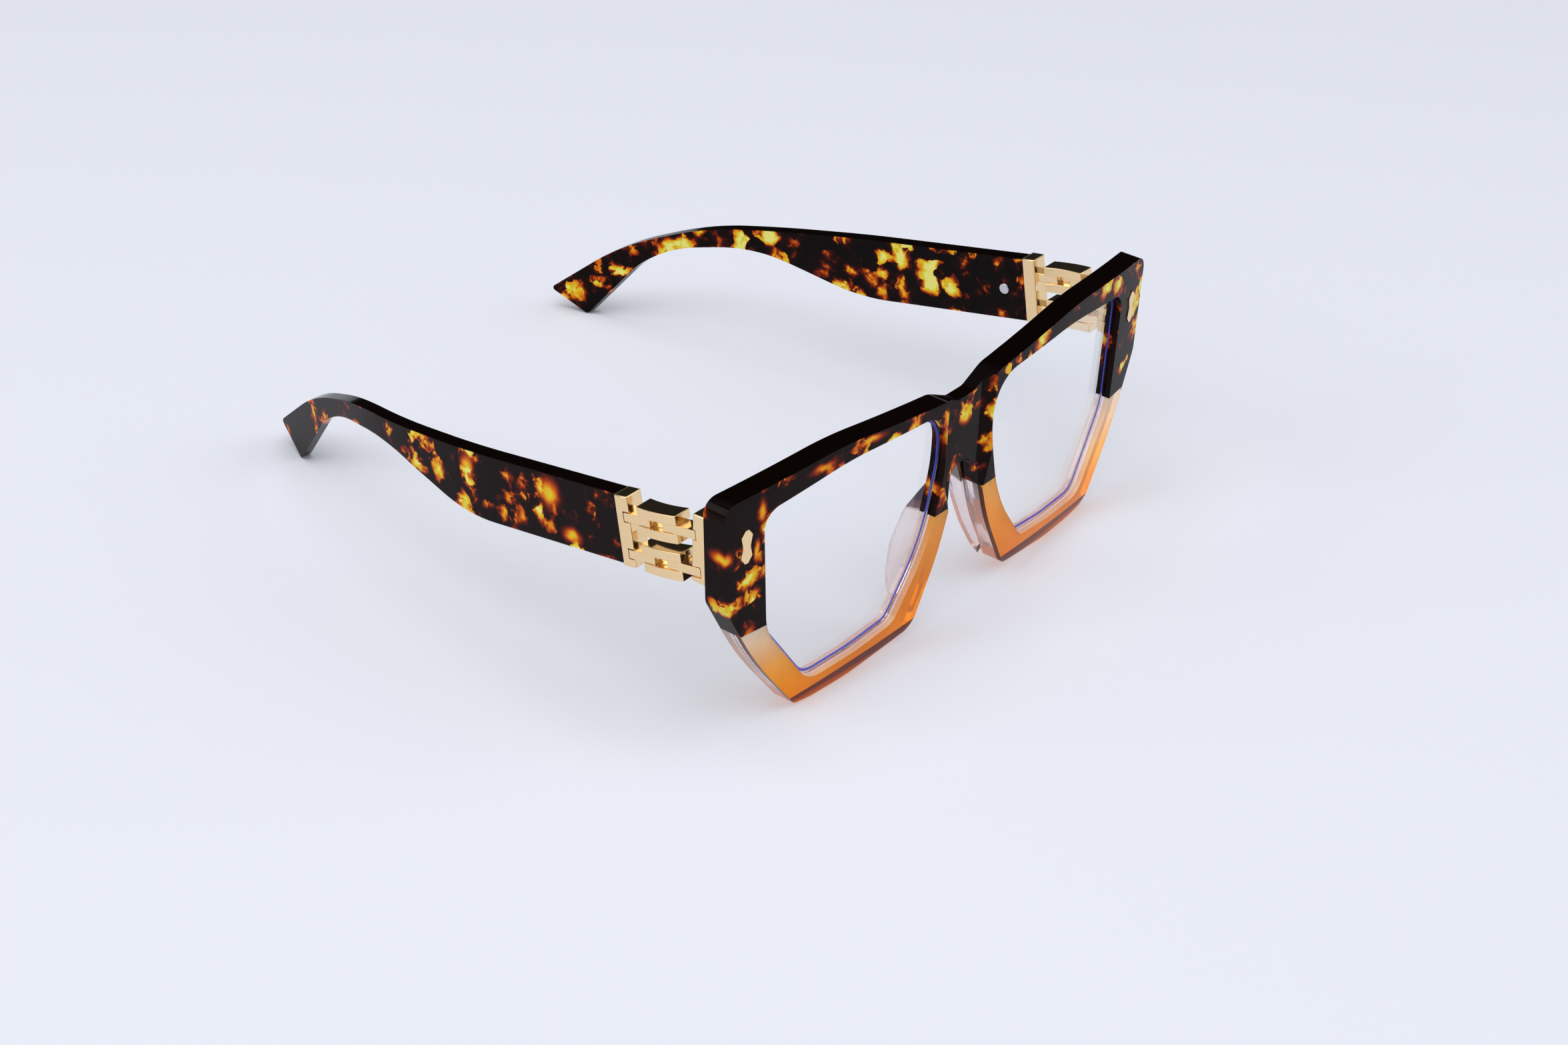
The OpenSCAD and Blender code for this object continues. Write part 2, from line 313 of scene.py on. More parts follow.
def soften(obj: Object, width: float, segments: int = 3, angle: float = 30) -> None:
    """Rounds every edge sharper than an angle.

    Args:
        obj: The piece.
        width: Width of the rounding in mm.
        segments: Number of strips across it.
        angle: Least angle of a rounded edge, in degrees.
    """
    add_modifier(obj, "BEVEL", width=width, segments=segments, limit_method="ANGLE",
                 angle_limit=math.radians(angle), use_clamp_overlap=True, miter_outer="MITER_ARC")


def combine(obj: Object, tools: Sequence[Object], operation: str) -> None:
    """Joins or cuts a piece with others, which are used up.

    Args:
        obj: The piece that stays.
        tools: The other pieces.
        operation: UNION, DIFFERENCE or INTERSECT.
    """
    for tool in tools:
        add_modifier(obj, "BOOLEAN", object=tool, operation=operation, solver="EXACT")
        bpy.data.objects.remove(tool)


def duplicate(obj: Object, name: str) -> Object:
    """Copies a piece and its mesh.

    Args:
        obj: The piece.
        name: Name of the copy.

    Returns:
        The copy.
    """
    pick(obj)
    bpy.ops.object.duplicate(linked=False)
    made = bpy.context.active_object
    made.name = name
    return made


def trim(obj: Object, at: Sequence[float], normal: Sequence[float], keep: Keep) -> None:
    """Cuts a piece with a plane and closes the cut.

    Args:
        obj: The piece.
        at: A point on the plane.
        normal: The plane's normal.
        keep: Which side stays: FRONT is the side the normal points to.
    """
    edit(obj)
    bpy.ops.mesh.bisect(plane_co=at, plane_no=normal, use_fill=True,
                        clear_inner=keep is Keep.FRONT, clear_outer=keep is Keep.BACK)
    leave()


def score(obj: Object, axis: int, step: float = 2.0) -> None:
    """Adds cuts across a piece at even stations, so that it can be bent smoothly.

    Args:
        obj: The piece.
        axis: 0, 1 or 2 for X, Y or Z.
        step: Distance between cuts in mm.
    """
    places = [v.co[axis] for v in obj.data.vertices]
    normal = [1.0 if i == axis else 0.0 for i in range(3)]
    edit(obj)
    for i in range(math.ceil(min(places) / step), math.floor(max(places) / step) + 1):
        bpy.ops.mesh.select_all(action="SELECT")
        bpy.ops.mesh.bisect(plane_co=[c * i * step for c in normal], plane_no=normal)
    leave()


def settle(obj: Object, mapping: Mapping, side: Side = Side.LEFT, angle: float = 35) -> Object:
    """Puts a piece in the frame and shades it.

    Args:
        obj: The piece, modelled in mm.
        mapping: Where each of its points goes, in mm.
        side: The wearer's side; the right side is the left one mirrored.
        angle: Edges sharper than this stay crisp, in degrees.

    Returns:
        The same object, in metres.
    """
    for vertex in obj.data.vertices:
        at = mapping(vertex.co)
        vertex.co = Vector((at.x * side.value, at.y - HALF_L, at.z)) * MM
    edit(obj)
    bpy.ops.mesh.remove_doubles(threshold=1e-6)
    bpy.ops.mesh.select_all(action="SELECT")
    bpy.ops.mesh.normals_make_consistent(inside=False)
    leave()
    pick(obj)
    bpy.ops.object.shade_smooth_by_angle(angle=math.radians(angle))
    add_modifier(obj, "WEIGHTED_NORMAL", keep_sharp=True, weight=80)
    return obj


def hand_over(obj: Object, body: str, slot: str, finish: Material, *nodes: str) -> None:
    """Gives a piece its body and finish, and hides the nodes that it stands for.

    Args:
        obj: The finished piece.
        body: The body that it rides on.
        slot: The record's material slot; not used.
        finish: Its material.
        nodes: The CAD nodes that it replaces.
    """
    obj.data.materials.clear()
    obj.data.materials.append(finish)
    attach(obj, body)
    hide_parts(*nodes)
    LOG.info("%s rides on %s, %d faces", obj.name, body, len(obj.data.polygons))


# ---------------------------------------------------------------- finishes


def linear(hex_colour: str) -> tuple[float, float, float, float]:
    """Turns an sRGB hex colour to linear.

    Args:
        hex_colour: Six hex digits.

    Returns:
        Red, green, blue and an alpha of 1.
    """
    channels = [int(hex_colour[i:i + 2], 16) / 255 for i in (0, 2, 4)]
    lit = [c / 12.92 if c <= 0.04045 else ((c + 0.055) / 1.055) ** 2.4 for c in channels]
    return (lit[0], lit[1], lit[2], 1.0)


def add_node(tree: NodeTree, kind: str, settings: dict | None = None, values: dict | None = None,
             links: dict | None = None) -> Node:
    """Adds a shader node.

    Args:
        tree: The material's node tree.
        kind: The node's type, without the prefix that every shader node has.
        settings: Its properties.
        values: Values of its unlinked inputs.
        links: What feeds its inputs; a node stands for its first output.

    Returns:
        The node.
    """
    node = tree.nodes.new(f"ShaderNode{kind}")
    for name, value in (settings or {}).items():
        setattr(node, name, value)
    for name, value in (values or {}).items():
        node.inputs[name].default_value = value
    for name, source in (links or {}).items():
        socket = source.outputs[0] if isinstance(source, Node) else source
        tree.links.new(socket, node.inputs[name])
    return node


def new_material(name: str) -> tuple[Material, NodeTree]:
    """Starts a material.

    Args:
        name: Its name.

    Returns:
        The material and its empty node tree.
    """
    material = bpy.data.materials.new(name)
    material.use_nodes = True
    material.node_tree.nodes.clear()
    return material, material.node_tree


def place_in_mm(tree: NodeTree) -> Node:
    """The surface point in mm, from Object coordinates."""
    where = add_node(tree, "TexCoord").outputs["Object"]
    return add_node(tree, "Mapping", values={"Scale": (1 / MM,) * 3}, links={"Vector": where})


def ramp(tree: NodeTree, factor: Source, stops: Tints) -> Node:
    """Turns a value to a colour.

    Args:
        tree: The node tree.
        factor: The value.
        stops: Value and hex colour of each stop.

    Returns:
        The ramp, with the colour as its first output.
    """
    node = add_node(tree, "ValToRGB", links={"Fac": factor})
    stop_list = node.color_ramp.elements
    while len(stop_list) < len(stops):
        stop_list.new(0.5)
    for stop, (position, colour) in zip(stop_list, stops):
        stop.position = position
        stop.color = linear(colour)
    return node


def lamp_light_through(tree: NodeTree, surface: Source, tint: str) -> Node:
    """Lets lamps shine through a clear material, so that its shadow is pale and takes its tint.

    Args:
        tree: The node tree.
        surface: The clear shader.
        tint: Hex colour of the light that passes each face.

    Returns:
        The mixed shader.
    """
    shadow_ray = add_node(tree, "LightPath").outputs["Is Shadow Ray"]
    passing = add_node(tree, "BsdfTransparent", values={"Color": linear(tint)})
    return add_node(tree, "MixShader", links={0: shadow_ray, 1: surface, 2: passing})


@dataclass(frozen=True)
class Chip:
    """One listed chip of bright acetate placed in a block.

    Args:
        at: Its middle in mm, with y from the front face.
        size: Its half sizes in mm.
    """

    at: Triple
    size: Triple


@dataclass(frozen=True)
class Tortoiseshell:
    """Block-pressed cellulose acetate with near-black ground and chips of red, orange and yellow.

    Chips of several sizes are pressed into one block and cut across, so each one is brightest in
    the middle and fades through red into the ground. Faces that point up are painted black: a painted dark
    reflection.

    Args:
        chip_mm: Size of the large chips.
        flake_mm: Size of the small ones.
        warp_mm: How far the press has pushed them about.
        wave_mm: Length of the waves that it pushed them in.
        cloud_mm: Size of the richer and poorer patches of the block.
        base: Glow of the ground.
        large_share: What a large chip adds to the glow.
        fade: What the distance from its middle takes away.
        small_share: What a small chip adds.
        cloud_share: What a rich patch adds.
        contrast: Factor on the sum and what is added to it.
        chip_warp: Share of the waviness that bends a listed chip.
        chip_glow: Glow in that chip's middle, and past its edge.
        chip_reach: How far past its size that chip fades out, as a factor.
        plain_glow: Share of the glow that is left in a plain foot.
        painted_dark_tops: Upward part of the normal between which a face is painted black, a painted dark
            reflection.
        glow_tints: Glow and hex colour.
        gloss: Strength of the polished surface's reflections.
    """

    chip_mm: float = 5.6
    flake_mm: float = 2.0
    warp_mm: float = 2.0
    wave_mm: float = 5.6 / 1.7
    cloud_mm: float = 7.0
    base: float = -0.30
    large_share: float = 0.62
    fade: float = -0.75
    small_share: float = 0.26
    cloud_share: float = 1.3
    contrast: Point = (1.3, -0.18)
    chip_warp: float = 0.5
    chip_glow: Point = (0.95, 0.3)
    chip_reach: float = 1.6
    plain_glow: float = 0.55
    painted_dark_tops: Point = (0.55, 0.8)
    ground: str = "080302"
    glow_tints: Tints = (
        (0.38, "140503"), (0.48, "300b06"), (0.56, "661a08"), (0.64, "a83a0a"), (0.72, "dc7a12"),
        (0.80, "e2b020"), (0.9, "dccb2c"), (1.0, "e8e27a"),
    )
    roughness: float = 0.06
    gloss: float = 0.07

    def material(self, name: str, shift: Triple, chips: Sequence[Chip] = (),
                 plain: Point = (-2.0, -1.0)) -> Material:
        """Builds the finish.

        Args:
            name: Name of the material.
            shift: Where in the block this piece was cut, in mm.
            chips: Listed chips.
            plain: Heights in mm between which the chips fade in above a plain foot.

        Returns:
            The material.
        """
        material, tree = new_material(name)
        place = place_in_mm(tree)
        in_block = add_node(tree, "Mapping", values={"Location": shift}, links={"Vector": place})
        wave = add_node(tree, "TexNoise", values={"Scale": 1 / self.wave_mm, "Detail": 3.0},
                        links={"Vector": in_block}).outputs["Color"]
        push = add_node(tree, "VectorMath", {"operation": "MULTIPLY_ADD"},
                        {1: (self.warp_mm * 2,) * 3, 2: (-self.warp_mm,) * 3}, {0: wave})
        glow = self.random_glow(tree, in_block, push)
        for chip in chips:
            glow = add_node(tree, "Math", {"operation": "MAXIMUM"},
                            links={0: glow, 1: self.placed_glow(tree, place, push, chip)})
        height = add_node(tree, "SeparateXYZ", links={"Vector": place}).outputs["Z"]
        above = add_node(tree, "MapRange", values={
            "From Min": plain[0], "From Max": plain[1], "To Min": self.plain_glow}, links={"Value": height})
        glow = add_node(tree, "Math", {"operation": "MULTIPLY"}, links={0: glow, 1: above})
        colour = ramp(tree, glow, ((0.0, self.ground), *self.glow_tints))
        # Painted dark reflection: cut is the share of a face that points up, which is mixed to the black
        # ground.
        normal = add_node(tree, "NewGeometry").outputs["Normal"]
        up = add_node(tree, "SeparateXYZ", links={"Vector": normal}).outputs["Z"]
        cut = add_node(tree, "MapRange", values={"From Min": self.painted_dark_tops[0], "From Max": self.painted_dark_tops[1]},
                       links={"Value": up})
        sheet = add_node(tree, "Mix", {"data_type": "RGBA"}, {7: linear(self.ground)},
                         {0: cut, 6: colour}).outputs[2]
        polished = add_node(tree, "BsdfPrincipled", values={
            "Roughness": self.roughness, "IOR": ACETATE_IOR, "Specular IOR Level": self.gloss},
            links={"Base Color": sheet})
        add_node(tree, "OutputMaterial", links={"Surface": polished})
        return material

    def random_glow(self, tree: NodeTree, in_block: Source, push: Source) -> Node:
        """How brightly the random chips glow at a point.

        Args:
            tree: The node tree.
            in_block: The point's place in the block in mm.
            push: The waviness of the block in mm.

        Returns:
            The glow, about 0 in the ground and 1 in the brightest chips.
        """
        warped = add_node(tree, "VectorMath", {"operation": "ADD"}, links={0: in_block, 1: push})
        large = add_node(tree, "TexVoronoi", {"feature": "SMOOTH_F1"},
                         {"Scale": 1 / self.chip_mm, "Smoothness": 0.15}, {"Vector": warped})
        small = add_node(tree, "TexVoronoi", {"distance": "MANHATTAN"}, {"Scale": 1 / self.flake_mm},
                         {"Vector": warped})
        cloud = add_node(tree, "TexNoise", values={"Scale": 1 / self.cloud_mm, "Detail": 3.0},
                         links={"Vector": in_block})
        large_kind = add_node(tree, "SeparateColor", links={"Color": large.outputs["Color"]})
        small_kind = add_node(tree, "SeparateColor", links={"Color": small.outputs["Color"]})
        glow = self.weighted(tree, large_kind, self.large_share, self.base)
        for part, share in ((large, self.fade), (small_kind, self.small_share), (cloud, self.cloud_share)):
            glow = self.weighted(tree, part, share, glow)
        return self.weighted(tree, glow, *self.contrast)

    def weighted(self, tree: NodeTree, part: Source, weight: float, rest: Source | float) -> Node:
        """Adds a weighted value to the rest of a sum.

        Args:
            tree: The node tree.
            part: The value.
            weight: Its weight.
            rest: The rest of the sum.

        Returns:
            The sum.
        """
        values, links = {1: weight}, {0: part}
        (values if isinstance(rest, float) else links)[2] = rest
        return add_node(tree, "Math", {"operation": "MULTIPLY_ADD"}, values, links)

    def placed_glow(self, tree: NodeTree, place: Source, push: Source, chip: Chip) -> Node:
        """How brightly a listed chip glows at a point.

        Args:
            tree: The node tree.
            place: The surface point in mm.
            push: The waviness of the block in mm.
            chip: The chip.

        Returns:
            A value that is near 1 in the chip's middle.
        """
        x, y, z = chip.at
        away = add_node(tree, "VectorMath", {"operation": "SUBTRACT"}, {1: (x, y - HALF_L, z)}, {0: place})
        bent = add_node(tree, "VectorMath", {"operation": "MULTIPLY_ADD"}, {1: (self.chip_warp,) * 3},
                        {0: push, 2: away})
        scaled = add_node(tree, "VectorMath", {"operation": "DIVIDE"}, {1: chip.size}, {0: bent})
        far = add_node(tree, "VectorMath", {"operation": "LENGTH"}, links={0: scaled}).outputs["Value"]
        return add_node(tree, "MapRange", values={
            "From Max": self.chip_reach, "To Min": self.chip_glow[0], "To Max": self.chip_glow[1]},
            links={"Value": far})


@dataclass(frozen=True)
class ClearAcetate:
    """Transparent cellulose acetate, tumbled to a gloss, tinted along its height.

    Args:
        tints: Height in mm and hex colour of light that has crossed the layer there.
        shadow: Hex colour of lamp light past each face.
        milk: Share of light that the sheet scatters.
        wall_light: Height and colour, as for tints, of its upward faces: painted light that makes them paler.
        facet_shade: Height and colour, as for tints, of its downward faces: painted shade that makes them
            darker.
        gleam: Hex colour of its reflections.
        nose_share: Share of the height that counts beside the nose, where the tint stays deeper.
        nose_x: Distances from the middle in mm between which that share rises to 1.
        flow: Hex colour of the faint clouds that the sheet's mixing leaves.
        flow_mm: Size of those clouds.
    """

    tints: Tints
    shadow: str
    milk: float = 0.0
    wall_light: Tints = ()
    facet_shade: Tints = ()
    gleam: str = "ffffff"
    nose_share: float = 1.0
    nose_x: Point = (20.0, 50.0)
    flow: str = "f6f0f0"
    flow_mm: float = 9.0
    roughness: float = 0.02

    def material(self, name: str) -> Material:
        """Builds the finish.

        Args:
            name: Name of the material.

        Returns:
            The material.
        """
        material, tree = new_material(name)
        point = place_in_mm(tree)
        place = add_node(tree, "SeparateXYZ", links={"Vector": point})
        height = place.outputs["Z"]
        aside = add_node(tree, "Math", {"operation": "ABSOLUTE"}, links={0: place.outputs["X"]})
        share = add_node(tree, "MapRange", values={
            "From Min": self.nose_x[0], "From Max": self.nose_x[1], "To Min": self.nose_share},
            links={"Value": aside})
        level = add_node(tree, "Math", {"operation": "MULTIPLY"}, links={0: height, 1: share})
        colour: Source = self.graded(tree, level, self.tints)
        # Painted light: faces that point up take paler colours graded over the height.
        normal = add_node(tree, "NewGeometry").outputs["True Normal"]
        up = add_node(tree, "SeparateXYZ", links={"Vector": normal}).outputs["Z"]
        # Painted shade: faces that point down take darker colours graded over the height.
        for tints, span in ((self.wall_light, (0.3, 0.7)), (self.facet_shade, (-0.1, -0.2))):
            if tints:
                facing = add_node(tree, "MapRange", values={"From Min": span[0], "From Max": span[1]},
                                  links={"Value": up})
                colour = add_node(tree, "Mix", {"data_type": "RGBA"}, links={
                    0: facing, 6: colour, 7: self.graded(tree, height, tints)}).outputs[2]
        flow = add_node(tree, "TexNoise", values={"Scale": 1 / self.flow_mm, "Detail": 2.0},
                        links={"Vector": point})
        cloudy = ramp(tree, flow, ((0.4, "ffffff"), (0.65, self.flow)))
        colour = add_node(tree, "Mix", {"data_type": "RGBA", "blend_type": "MULTIPLY"}, {0: 1.0},
                          {6: colour, 7: cloudy}).outputs[2]
        clear = add_node(tree, "BsdfPrincipled", values={
            "Roughness": self.roughness, "IOR": ACETATE_IOR, "Specular IOR Level": 0.2,
            "Specular Tint": linear(self.gleam), "Transmission Weight": 1.0 - self.milk},
            links={"Base Color": colour})
        add_node(tree, "OutputMaterial", links={"Surface": lamp_light_through(tree, clear, self.shadow)})
        return material

    def graded(self, tree: NodeTree, height: Source, tints: Tints) -> Node:
        """Grades a colour over the height.

        Args:
            tree: The node tree.
            height: The height in mm.
            tints: Height and colour of each stop.

        Returns:
            The colour there.
        """
        tall = tints[-1][0]
        share = add_node(tree, "Math", {"operation": "DIVIDE"}, {1: tall}, {0: height})
        return ramp(tree, share, [(z / tall, tint) for z, tint in tints])


@dataclass(frozen=True)
class CoatedLens:
    """Clear lens resin with an anti-reflective coating, which leaves a faint blue-violet gleam.

    Args:
        sheen: Hex colour of the coated face's reflections.
        bevel: Hex colour of the painted reflection, the coating's gleam inside the lens's edge.
        gleam_share: How much of what lies behind it that painted gleam covers.
    """

    sheen: str = "8080d0"
    bevel: str = "5c66dc"
    gleam_share: float = 0.7

    def material(self, name: str) -> Material:
        """Builds the clear resin.

        Args:
            name: Name of the material.

        Returns:
            The material.
        """
        material, tree = new_material(name)
        resin = add_node(tree, "BsdfPrincipled", values={
            "Base Color": linear("feffff"), "Roughness": 0.0, "IOR": 1.5, "Transmission Weight": 1.0,
            "Specular IOR Level": 0.2, "Specular Tint": linear(self.sheen)})
        add_node(tree, "OutputMaterial", links={"Surface": lamp_light_through(tree, resin, "fcfcfd")})
        return material

    def painted_reflection_material(self, name: str) -> Material:
        """Builds the painted reflection: the coating's gleam where the lens is bevelled, as a part-clear
        colour.

        Args:
            name: Name of the material.

        Returns:
            The material.
        """
        material, tree = new_material(name)
        # Painted reflection: a mostly opaque blue-violet colour stands in for the coating's gleam.
        gleam = add_node(tree, "BsdfPrincipled", values={
            "Base Color": linear(self.bevel), "Roughness": 0.25, "Specular IOR Level": 0.2})
        clear = add_node(tree, "BsdfTransparent")
        mix = add_node(tree, "MixShader", values={0: self.gleam_share}, links={1: clear, 2: gleam})
        add_node(tree, "OutputMaterial", links={"Surface": mix})
        return material


@dataclass(frozen=True)
class PlatedMetal:
    """Cast alloy, polished and plated; fine polishing marks break its reflections a little."""

    colour: str
    roughness: float
    mark_mm: float = 0.5  # the real marks are finer, and are drawn this coarse to show

    def material(self, name: str) -> Material:
        """Builds the finish.

        Args:
            name: Name of the material.

        Returns:
            The material.
        """
        material, tree = new_material(name)
        marks = add_node(tree, "TexNoise", values={"Scale": 1 / self.mark_mm, "Detail": 3.0},
                         links={"Vector": place_in_mm(tree)})
        spread = add_node(tree, "MapRange", values={
            "From Min": 0.3, "From Max": 0.7, "To Min": self.roughness * 0.7, "To Max": self.roughness * 1.4},
            links={"Value": marks})
        metal = add_node(tree, "BsdfPrincipled", values={"Base Color": linear(self.colour), "Metallic": 1.0},
                         links={"Roughness": spread})
        add_node(tree, "OutputMaterial", links={"Surface": metal})
        return material


@dataclass
class Finishes:
    """The finishes of the whole object."""

    brow: Material = field(init=False)
    temples: dict[Side, Material] = field(init=False)
    amber: Material = field(init=False)
    crystal: Material = field(init=False)
    pad: Material = field(init=False)
    lens: Material = field(init=False)
    lens_bevel: Material = field(init=False)
    gold: Material = field(init=False)
    steel: Material = field(init=False)

    def __post_init__(self) -> None:
        """Mixes every finish once."""
        shell = Tortoiseshell()
        near_brow = [
            Chip((-70.5, 6, 42.5), (1.8, 3, 1.8)), Chip((-62.8, 5, 41.5), (1.0, 3, 3)),
            Chip((-61.8, 5, 49.8), (1.2, 3, 2.6)), Chip((-46, 1, 52.9), (4, 3, 1.2)),
            Chip((-33, 0, 53.4), (5, 3, 1.1)), Chip((-6.8, 0, 43), (1.1, 3, 5)),
        ]
        near_temple = [
            Chip((-68.4, 52, 37.5), (3, 3.2, 3.6)), Chip((-68.4, 45.5, 30.5), (3, 2.6, 1.8)),
            Chip((-69, 36, 28.6), (3, 2.4, 1.6)), Chip((-66, 76, 34), (3, 2.2, 2.8)),
            Chip((-63, 90, 34), (3, 2.4, 2.2)),
        ]
        self.brow = shell.material("tortoiseshell_acetate_brow", (13.0, 4.0, 7.0), near_brow,
                                   plain=(25.0, 30.0))
        self.temples = {
            Side.RIGHT: shell.material("tortoiseshell_acetate_right", (3.0, 31.0, 17.0), near_temple),
            Side.LEFT: shell.material("tortoiseshell_acetate_left", (41.0, 11.0, 29.0)),
        }
        self.amber = ClearAcetate(
            tints=((0, "ff9000"), (7, "ffa414"), (13, "ffbc50"), (19, "fbdcae"), (24, "f8ead6")),
            # painted light: the wall colours make the upward faces paler
            shadow="fbe4c0", milk=0.4, wall_light=((0, "f8dfb8"), (6, "f8e6cc"), (24, "f8ecdc")),
            # painted shade: the facet colours darken the downward faces
            facet_shade=((0, "e07804"), (1.2, "b85004"), (1.9, "461203"), (6, "3a0e02")),
            gleam="b06a10", nose_share=0.5).material("amber_acetate")
        self.crystal = ClearAcetate(
            tints=((0, "faf2f4"), (27, "faf2f4")), shadow="f9f3f3", milk=0.12).material("crystal_acetate")
        self.pad = ClearAcetate(
            tints=((0, "faf0f0"), (25.6, "faf0f0"), (26.2, "34160e"), (36, "34160e")),
            shadow="f9f3f3", milk=0.06).material("pad_acetate")
        resin = CoatedLens()
        self.lens = resin.material("coated_lens_resin")
        # A painted reflection: the coating's gleam round each lens edge.
        self.lens_bevel = resin.painted_reflection_material("coated_lens_bevel")
        self.gold = PlatedMetal("f4d5a4", 0.1).material("pale_gold_plate")
        self.steel = PlatedMetal("c9cacd", 0.18).material("stainless_steel")


# ---------------------------------------------------------------- the front


@dataclass
class LaminatedFront:
    """The acetate front: dark brow, and in each lower rim an amber layer on a clear one.

    It is modelled flat, with x across, y into the depth and z up, and then wrapped round the face.
    """

    width: float = 143.0
    height: float = 55.3
    thick: float = 5.0
    wrap: float = 470.0
    amber: float = 1.2
    lens_set: float = 2.0
    lens_thick: float = 2.0
    groove: float = 0.8
    split_outer: float = 23.5
    split_nose: float = 26.7
    split_x: float = 29.0  # where the joint line steps up towards the nose
    beyond: float = 90.0  # clear of the front at its sides
    under: float = -20.0  # clear of its foot
    play: float = 0.05
    edge: float = 0.85
    bridge_step: float = 1.8
    bridge_half: Point = (9.8, 5.4)
    bridge_low: float = 24.0
    bridge_run_out: float = 9.0
    facet_rise: float = 3.4
    facet_run: float = 0.8
    facet_x: Point = (13.0, 55.0)
    facet_run_out: float = 3.0
    facet_lift: float = 0.4
    facet_climb: float = 0.05

    def outline(self) -> list[Corner]:
        """The corners of the whole front, counter-clockwise from the nose.

        Returns:
            The corners.
        """
        half = self.width / 2
        left = [
            Corner(3.2, 34.4, 3.5), Corner(8.7, 17.4, 60), Corner(16.6, 2.4, 3), Corner(36, 0, 60),
            Corner(46, 0, 12), Corner(51, 0.7, 2.5), Corner(62.5, 15.8, 90), Corner(half - 1.1, 31.2, 4),
            Corner(half, self.height - 1.5, 3.2), Corner(40, self.height + 0.2, 90),
            Corner(9, self.height - 2.8, 8), Corner(2.8, self.height - 5.6, 3),
        ]
        return left + mirrored(left)

    def opening(self) -> list[Corner]:
        """The corners of the left lens opening, counter-clockwise."""
        return [
            Corner(8, 50.4, 8), Corner(8.1, 37, 30), Corner(12, 21, 40), Corner(22.6, 6.9, 3.5),
            Corner(34, 5.5, 30), Corner(47.8, 5, 6), Corner(59.7, 21.8, 12), Corner(61.3, 48.8, 4.2),
            Corner(38, self.height - 3.8, 80),
        ]

    def wrapped(self, at: Vector) -> Vector:
        """Where a point of the flat front goes when the front is wrapped round the face."""
        radius = self.wrap - at.y
        return Vector((at.x, self.wrap - math.sqrt(radius * radius - at.x * at.x), at.z))

    def across(self, points: Iterable[Point], depth: float) -> list[Vector]:
        """Outline points as vectors at a depth behind the front face."""
        return [Vector((x, depth, z)) for x, z in points]

    def groove_cutter(self, side: Side) -> Object:
        """The shape of one lens with its play in the groove.

        Args:
            side: The wearer's side.

        Returns:
            The cutter.
        """
        corners = grown(self.opening(), self.groove + self.play)
        if side is Side.RIGHT:
            corners = mirrored(corners)
        return slab("groove", [self.across(rounded(corners), self.lens_set - self.play)],
                    Vector((0, self.lens_thick + 2 * self.play, 0)))

    def bridge_cutter(self) -> Object:
        """The step that sets the bridge back, with sloping sides and a foot that runs out.

        Returns:
            The cutter.
        """
        wide, narrow = self.bridge_half
        plan = [(-wide, -1), (wide, -1), (narrow, self.bridge_step), (-narrow, self.bridge_step)]
        foot = [Vector((x, y, self.bridge_low)) for x, y in plan]
        step = slab("step", [foot], Vector((0, 0, self.height)))
        score(step, 2, self.bridge_low + self.bridge_run_out)
        for vertex in step.data.vertices:
            if vertex.co.z < self.bridge_low + self.bridge_run_out / 2:
                vertex.co.y -= self.bridge_step
        return step

    def facet_cutter(self, side: Side) -> Object:
        """The wedge that leaves the long facet under a rim, with its ends run out.

        Args:
            side: The wearer's side.

        Returns:
            The cutter.
        """
        slope = self.facet_rise / self.facet_run
        start, end = self.facet_x
        section = [(-1, self.facet_rise + slope), (-1, -2 * slope), (self.facet_run + 2, -2 * slope)]
        wedge = slab("wedge", [[Vector((start, y, z)) for y, z in section]], Vector((end - start, 0, 0)))
        middle = (start + end) / 2
        for vertex in wedge.data.vertices:
            if vertex.co.z > 0:
                vertex.co.x += self.facet_run_out * (1 if vertex.co.x < middle else -1)
            vertex.co.z += self.facet_lift + self.facet_climb * (middle - vertex.co.x)
            vertex.co.x *= side.value
        edit(wedge)
        bpy.ops.mesh.normals_make_consistent(inside=False)
        leave()
        return wedge

    def blank(self) -> Object:
        """The flat front before it is cut into its layers.

        Returns:
            The flat front.
        """
        left = self.across(rounded(self.opening()), 0)
        right = self.across(rounded(mirrored(self.opening())), 0)
        loops = [self.across(rounded(self.outline()), 0), left, right]
        made = slab("blank", loops, Vector((0, self.thick, 0)))
        combine(made, [self.bridge_cutter(), self.facet_cutter(Side.LEFT), self.facet_cutter(Side.RIGHT)],
                "DIFFERENCE")
        edit(made)
        bpy.ops.mesh.dissolve_limited(angle_limit=math.radians(0.5))  # joins the splinters of flat faces
        leave()
        soften(made, self.edge, segments=5, angle=18)
        combine(made, [self.groove_cutter(side) for side in Side], "DIFFERENCE")
        return made

    def below_split(self, side: Side, drop: float = 0.0) -> list[Point]:
        """Half of a flat shape that covers everything under the joint line, from the outside in.

        Args:
            side: The wearer's side.
            drop: How far under the joint line it stays, in mm.

        Returns:
            Its points: two outside the front, then two where the line steps up.
        """
        far, split = self.beyond * side.value, self.split_x * side.value
        outer, nose = self.split_outer - drop, self.split_nose - drop
        return [(far, self.under), (far, outer), (split, outer), (split, nose)]

    def brow(self, blank: Object) -> Object:
        """The dark upper part, full thickness.

        Args:
            blank: The flat front.

        Returns:
            The flat brow.
        """
        made = duplicate(blank, "brow")
        below = self.below_split(Side.RIGHT, OVERLAP) + self.below_split(Side.LEFT, OVERLAP)[::-1]
        cutter = slab("below", [self.across(below, -self.thick)], Vector((0, 4 * self.thick, 0)))
        combine(made, [cutter], "DIFFERENCE")
        return made

